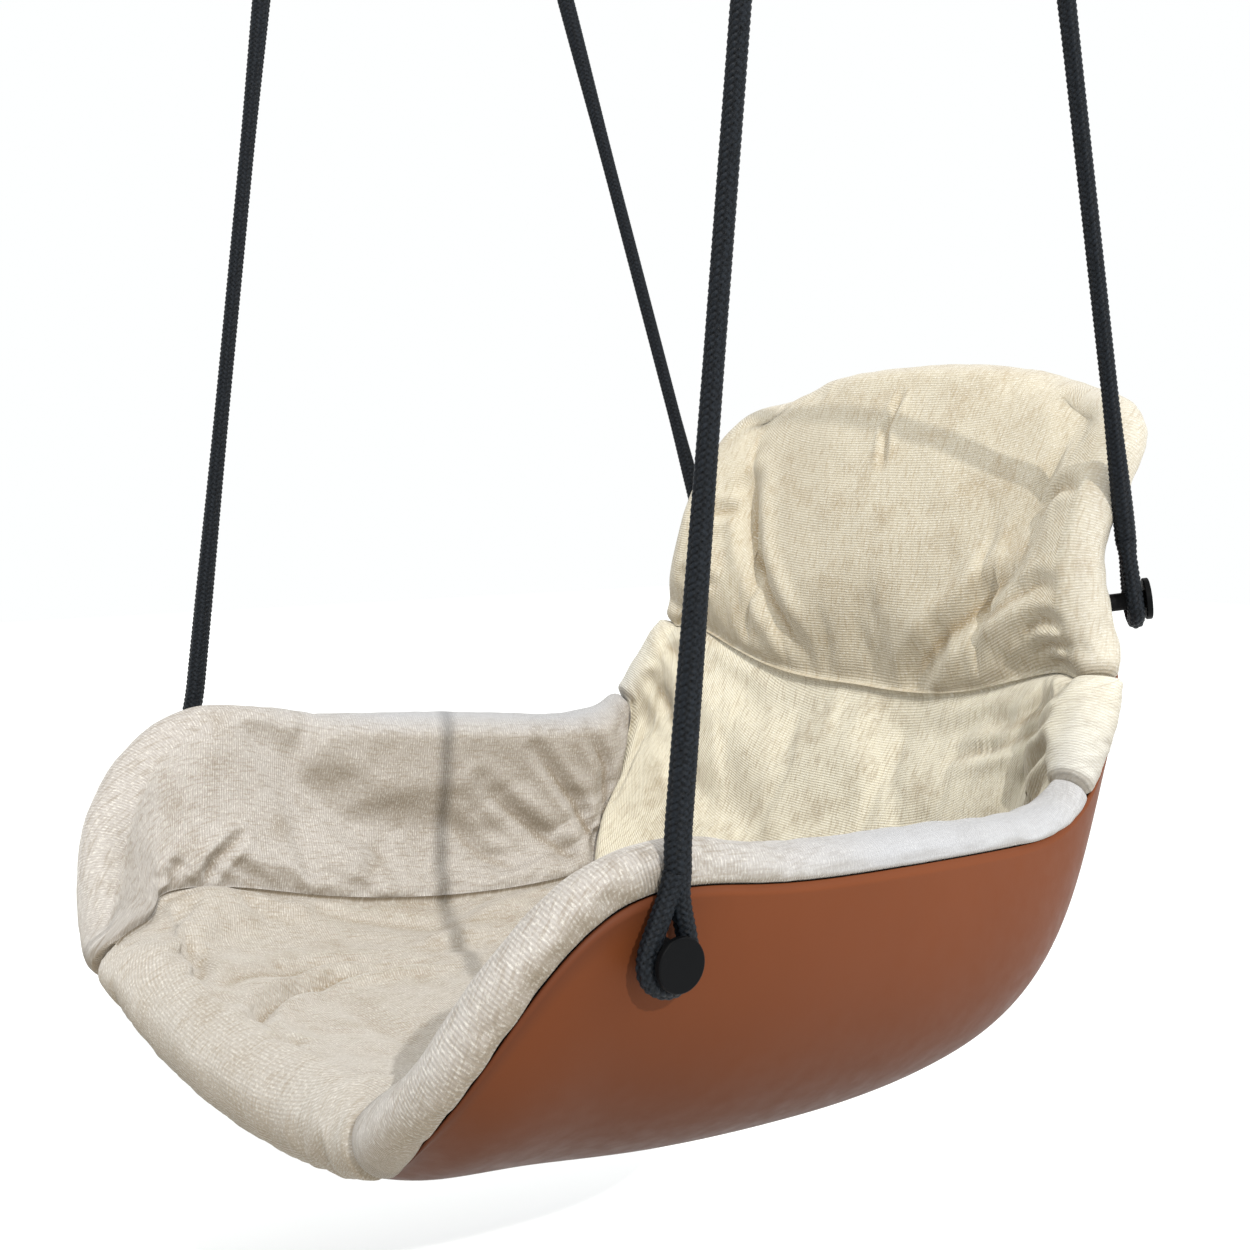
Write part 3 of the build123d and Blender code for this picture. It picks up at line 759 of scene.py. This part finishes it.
def wrinkle(obj, kind, signs):
    """Presses the folds of one kind of cushion into its mesh, with soft ridges beside them, and stores
    painted shade along each fold in the crease attribute.
    """
    mesh = obj.data
    points = read(mesh, "co")
    place = read(mesh, "vector", "place")
    normals = np.array([tuple(x.vector) for x in mesh.vertex_normals])
    free = np.clip(place[:, 2] * 3, 0, 1)
    move = np.zeros(len(points))
    painted_crease_shade = np.zeros(len(points))
    for owner, depth, width, places in FOLDS:
        if owner != kind:
            continue
        for sign in signs:
            line, inward, weight = fold_line(places, sign)
            box = ((points > line.min(0) - 0.05) & (points < line.max(0) + 0.05)).all(1)
            index = np.nonzero(box)[0]
            apart = points[index, None] - line[None]
            apart -= (apart * inward).sum(-1, keepdims=True) * inward
            away = np.linalg.norm(apart, axis=-1)
            near = away.argmin(1)
            x = away.min(1) / (width / 1000)
            profile = np.exp(-x ** 2) - 0.55 * np.exp(-((x - 1.9) / 0.9) ** 2)
            move[index] -= depth / 1000 * profile * weight[near]
            # Painted shade along the middle of each fold, kept in the crease attribute.
            crease_shade_weight = np.exp(-(x / 0.5) ** 2) * weight[near] * min(1, depth / 6)
            painted_crease_shade[index] = np.maximum(painted_crease_shade[index], crease_shade_weight)
    set_positions(mesh, points + normals * (move * free)[:, None])
    mesh.attributes["crease"].data.foreach_set("value", (painted_crease_shade * free).astype(np.float32))


def calm(obj, times=24):
    """Evens out the cover where the edge turns its four corners."""
    mesh = obj.data
    place = read(mesh, "vector", "place")
    side = np.abs(place[:, 1])
    top = smooth_step(place[:, 0], 0.86, 0.95) * smooth_step(side, 0.45, 0.70)
    front = smooth_step(place[:, 0], 0.12, 0.05) * smooth_step(side, 0.62, 0.80)
    free = smooth_step(place[:, 2], 0.1, 0.4)
    edges = np.empty(2 * len(mesh.edges), dtype=np.int32)
    mesh.edges.foreach_get("vertices", edges)
    one, two = edges.reshape(-1, 2).T
    count = np.bincount(edges, minlength=len(place))[:, None]
    sewn = read(mesh, "value", "sewn") > 0.01
    weight = (0.8 * np.maximum(top, 0.8 * front) * free * ~sewn)[:, None]
    points = read(mesh, "co")
    for _ in range(times):
        total = np.stack([np.bincount(one, points[two, c], len(points))
                          + np.bincount(two, points[one, c], len(points)) for c in range(3)], -1)
        points = points + weight * (total / count - points)
    set_positions(mesh, points)


def ripple(obj, size, seed):
    """Small lumps of the filling under the cover."""
    mesh = obj.data
    points = read(mesh, "co")
    place = read(mesh, "vector", "place")
    normals = np.array([tuple(x.vector) for x in mesh.vertex_normals])
    lumps = np.array([noise.noise(Vector(p) * 17 + Vector((seed, 0, 0))) + 0.5 * noise.noise(
        Vector(p) * 38 + Vector((0, seed, 0))) for p in points])
    set_positions(mesh, points + normals * (lumps * size * np.clip(place[:, 2] * 2, 0, 1))[:, None])


def gather(obj, spacing, size):
    """Fine puckers where the cover is pulled over the edge roll into the leather seam."""
    mesh = obj.data
    points = read(mesh, "co")
    place = read(mesh, "vector", "place")
    normals = np.array([tuple(x.vector) for x in mesh.vertex_normals])
    where = np.array([noise.noise(Vector(p / spacing)) for p in points])
    band = smooth_step(place[:, 2], 0.0, 0.12) * smooth_step(place[:, 2], 0.75, 0.15)
    set_positions(mesh, points + normals * (where * size * band * (place[:, 2] > 0))[:, None])


def upholstery(paint):
    """The five cushions with their share of the edge roll."""
    last_row, last_column = NT - 1, NV - 1
    right_column = last_column - ARM_COLUMN
    # Name, kind of folds, rows, columns, middle column, crown, pinch (width, depth), tint with painted
    # light, sides that its folds are on, and the CAD nodes that it replaces.
    plan = [
        ("seat_cushion", "seat", (0, SEAT_ROW), (right_column, ARM_COLUMN), 70,
         0.007, (0.020, 0.014), 0.33, (1,), ("seat_pad", "front_roll")),
        ("left_arm_cushion", "arm", (0, SEAT_ROW), (ARM_COLUMN, last_column), 130,
         0.005, (0.018, 0.013), 0.0, (1,), ("left_arm_pad", "left_arm_roll")),
        ("right_arm_cushion", "arm", (0, SEAT_ROW), (0, right_column), 130,
         0.005, (0.018, 0.013), 0.0, (-1,), ("right_arm_pad", "right_arm_roll")),
        ("lumbar_cushion", "lumbar", (SEAT_ROW, TUCK_ROW), (0, last_column), 90,
         0.006, (0.020, 0.014), 0.67, (1,), ("lower_back_pad",)),
        ("back_cushion", "back", (TUCK_ROW, last_row), (0, last_column), 90,
         0.006, (0.024, 0.014), 1.0, (1,),
         ("upper_back_pad", "top_roll", "left_wing_roll", "right_wing_roll")),
    ]
    made = []
    for seed, (name, kind, rows, columns, middle, crown, pinch, tint_and_painted_light, signs, nodes) in enumerate(plan):
        cushion = Cushion(name, rows, columns, middle, crown, pinch, tint_and_painted_light, paint)
        simulate(cushion, swell=0.03, pressure=1.5, cap=0.010)
        obj = cushion.object
        subdivide(obj)
        calm(obj)
        wrinkle(obj, kind, signs)
        ripple(obj, 0.0016, 7.0 * seed)
        gather(obj, 0.011, 0.0009)
        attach(obj, "seat")
        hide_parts(*nodes)
        made.append(obj)
    return made


# ---------------------------------------------------------------- leather and shell
def bucket(name, node, depths, paint, trim=0.0):
    """One layer of the bucket; the leather has a border strip sewn on round the front."""
    nt, nv = 170, 140
    t, v = np.meshgrid(np.linspace(trim, 1 - trim, nt), np.linspace(trim - 1, 1 - trim, nv), indexing="ij")
    t, v = t.ravel(), v.ravel()
    outside = outer(t, v)
    inward = slopes(t, v)[2]
    edge = np.minimum((1 - np.abs(v)) * 0.42, t * 1.1)        # about the distance from the edge, in metres
    border = smooth_step(edge, 0.0125, 0.0115) * smooth_step(t, 0.30, 0.20) * (trim == 0)
    verts = np.concatenate([outside + inward * (depths[0] - 0.0009 * border)[:, None],
                            outside + inward * depths[1]])
    grid = np.arange(nt * nv).reshape(nt, nv)
    a, b, c, d = grid[:-1, :-1], grid[:-1, 1:], grid[1:, 1:], grid[1:, :-1]
    faces = list(np.stack([a, d, c, b], -1).reshape(-1, 4))
    faces += list(np.stack([a, b, c, d], -1).reshape(-1, 4) + nt * nv)
    loop = list(grid[0, :-1]) + list(grid[:-1, -1]) + list(grid[-1, :0:-1]) + list(grid[:0:-1, 0])
    for one, two in zip(loop, loop[1:] + loop[:1]):
        faces.append((one, two, two + nt * nv, one + nt * nv))
    obj = make_object(name, verts, faces, paint, [("border", "FLOAT", np.concatenate([border, border]))])
    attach(obj, "seat")
    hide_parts(node)


# ---------------------------------------------------------------- ropes
# Route of an eye from its centre, across and along the rope, in millimetres, as in the CAD part.
EYE_POINTS = [(-8.4, 31.0), (-20.7, -2.7), (-9.6, -18.5), (9.6, -18.5), (20.7, -2.7), (0.0, 54.0)]
RUN_IN = (0.0, 140.0)        # one more point on the straight run, six diameters from the throat
SPLICE_END = (0.8, 57.0)     # where the braid's tail goes into the standing rope
STRANDS = 8                  # columns of the braid round the rope
FLOAT_PITCH = 0.0048         # from one float to the next along the rope
FLOAT_HEIGHT = 0.0021
SWELL = 0.32                 # share by which a spliced-in tail thickens the rope
# Loop centre, thimble centre and button axis of the left side, the rope's length, and the taper's.
CORNERS = {
    "front": ((0.4196, -0.2524, -1.0002), (0.3930, -0.1467, -0.0727), (1.0, 0.0, 0.0), 1.122, 0.42),
    "rear": ((0.3049, 0.3668, -0.8000), (0.3480, 0.1544, -0.0712), (0.7001, 0.7001, 0.1400), 0.948, 0.20),
}


def square(direction, along):
    return (direction - along * direction.dot(along)).normalized()


def rope_route(loop, thimble, axis):
    """The rope's points, from the end of the lower tail to the end of the upper tail."""
    along = (thimble - loop).normalized()
    low_side = along.cross(square(axis, along)).normalized()
    high_side = along.cross(square(Vector((1, 0, 0)), along)).normalized()
    eye = [SPLICE_END, *EYE_POINTS, RUN_IN]
    points = [loop + (low_side * a + along * b) / 1000 for a, b in eye]
    points += [thimble + (high_side * a - along * b) / 1000 for a, b in reversed(eye)]
    return points


def spline_points(name, route):
    """Points read from a curve through the route, close together."""
    curve = bpy.data.curves.new(name, "CURVE")
    curve.dimensions = "3D"
    spline = curve.splines.new("NURBS")
    spline.points.add(len(route) - 1)
    for point, place in zip(spline.points, route):
        point.co = (*place, 1)
    spline.order_u = 3
    spline.use_endpoint_u = True
    spline.resolution_u = 24
    obj = bpy.data.objects.new(name, curve)
    bpy.context.scene.collection.objects.link(obj)
    mesh = bpy.data.meshes.new_from_object(obj)
    points = np.array([tuple(v.co) for v in mesh.vertices])
    bpy.data.objects.remove(obj)
    bpy.data.meshes.remove(mesh)
    length = arc_length(points)
    even = np.linspace(0, length[-1], int(length[-1] / 0.0013))
    return np.stack([np.interp(even, length, points[:, c]) for c in range(3)], -1), even


def braid(name, loop, thimble, axis, taper, paint):
    """A braided rope: floats over two and under two, swelling where the tails are spliced in."""
    line, along = spline_points(name + "_line", rope_route(loop, thimble, axis))
    tangent = unit(np.gradient(line, axis=0))
    normal = np.zeros_like(line)
    normal[0] = unit(np.cross(tangent[0], (0.3, 0.2, 0.9)))
    for k in range(1, len(line)):
        step = normal[k - 1] - tangent[k] * (normal[k - 1] @ tangent[k])
        normal[k] = step / np.linalg.norm(step)
    side = np.cross(tangent, normal)
    around = 48
    phi = np.arange(around) / around * 2 * pi
    rope = np.array((thimble - loop).normalized())
    radius = np.full(len(line), ROPE_D / 2 - 0.0002)
    for end, way, length in ((loop, rope, taper), (thimble, -rope, 0.30)):
        high = (line - np.array(end)) @ way
        radius *= 1 + SWELL * smooth_step(high, 0.040, 0.062) * (1 - smooth_step(high, 0.070, length))
    u = STRANDS * phi[None] / (2 * pi)
    s = along[:, None] / FLOAT_PITCH
    one, two = u + s, u - s
    i, j = np.floor(one), np.floor(two)
    m = np.mod(i + j, 4)
    across = np.where(m < 2, one - i, two - j) - 0.5
    run = np.where(m < 2, m + two - j, m - 2 + one - i) - 1
    height = np.sqrt(np.clip(1 - (across / 0.56) ** 2, 0, 1)) * (1 - 0.6 * run ** 2)
    r = radius[:, None] + FLOAT_HEIGHT * (height - 0.55)
    verts = (line[:, None] + normal[:, None] * (np.cos(phi)[None] * r)[..., None]
             + side[:, None] * (np.sin(phi)[None] * r)[..., None])
    n = len(line)
    grid = np.arange(n * around).reshape(n, around)
    a, b = grid[:-1], np.roll(grid, -1, 1)[:-1]
    c, d = np.roll(grid, -1, 1)[1:], grid[1:]
    faces = [tuple(q) for q in np.stack([a, b, c, d], -1).reshape(-1, 4)]
    faces += [tuple(grid[0, ::-1]), tuple(grid[-1])]
    # Painted shade mask for the grooves between the floats, used by the rope's paint.
    painted_groove_shade = np.clip(1 - height * 1.5, 0, 1).ravel()
    cloth = np.stack([across * 0.0055, along[:, None] + 0 * across, 0 * across], -1).reshape(-1, 3)
    obj = make_object(name, verts.reshape(-1, 3), faces, paint, [
        ("cloth", "FLOAT_VECTOR", cloth), ("painted_groove_shade", "FLOAT", painted_groove_shade)])
    return obj, line


def ropes(paint):
    for end, (loop, thimble, axis, length, taper) in CORNERS.items():
        for word, sign in (("left", 1), ("right", -1)):
            corner = f"{end}_{word}"
            place = [Vector((p[0] * sign, p[1], p[2])) for p in (loop, thimble, axis)]
            obj, line = braid(corner + "_braid", *place, taper, paint)
            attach(obj, corner + "_hanger")
            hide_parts(corner + "_rope")


# ---------------------------------------------------------------- hardware, floor and light
def hardware(black, bright, nylon):
    paints = {"eye_plate": black, "button": black, "spool": nylon, "thimble": bright, "shackle": bright,
              "shackle_pin": bright, "anchor_inserts": bright, "anchor_bolts": bright}
    for name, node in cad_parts.items():
        for ending, paint in paints.items():
            if name.endswith(ending):
                node.data.materials.clear()
                node.data.materials.append(paint)


def area_light(name, place, aim, size, power, color):
    data = bpy.data.lights.new(name, "AREA")
    data.shape = "RECTANGLE"
    data.size, data.size_y = size
    data.energy = power
    data.color = color
    light = bpy.data.objects.new(name, data)
    light.location = place
    light.rotation_euler = (Vector(aim) - Vector(place)).to_track_quat("-Z", "Y").to_euler()
    bpy.context.scene.collection.objects.link(light)


def studio():
    """Pale floor, white surroundings and soft lamps."""
    ground = bpy.data.meshes.new("floor")
    ground.from_pydata([(-9, -9, -1.64), (9, -9, -1.64), (9, 9, -1.64), (-9, 9, -1.64)], [], [(0, 1, 2, 3)])
    ground.materials.append(floor_paint())
    floor = bpy.data.objects.new("floor", ground)
    bpy.context.scene.collection.objects.link(floor)
    world = bpy.data.worlds.new("surroundings")
    world.use_nodes = True
    background = world.node_tree.nodes["Background"]
    background.inputs["Color"].default_value = (0.99, 1.0, 1.0, 1)
    background.inputs["Strength"].default_value = 1.0
    bpy.context.scene.world = world
    bpy.context.scene.view_settings.view_transform = "Standard"
    lamp = bpy.data.lights.new("spot", "SUN")
    lamp.energy = 2.4
    lamp.angle = radians(0.9)
    lamp.color = (1.0, 0.97, 0.92)
    sun = bpy.data.objects.new("spot", lamp)
    sun.rotation_euler = Vector((-0.839, 0.245, -0.485)).to_track_quat("-Z", "Y").to_euler()
    bpy.context.scene.collection.objects.link(sun)
    aim = (0, 0, -0.95)
    area_light("window", (2.0, 1.6, 0.2), aim, (1.4, 1.4), 18, (0.86, 0.93, 1.0))
    area_light("ceiling", (0.1, -0.7, 1.5), aim, (1.2, 1.2), 21, (1.0, 0.96, 0.90))


def main():
    add_camera()
    ropes(braid_paint())
    upholstery(chenille())
    nylon = powder_coat("black_nylon", (0.006, 0.006, 0.0065), 0.5)
    bucket("leather_skin", "leather_cover", (0.0, 0.0024), leather())
    bucket("shell_skin", "seat_shell", (0.0029, 0.0118), nylon, 0.005)
    hardware(powder_coat("black_powder_coat", (0.0020, 0.0022, 0.0026), 0.42), steel(), nylon)
    studio()


main()
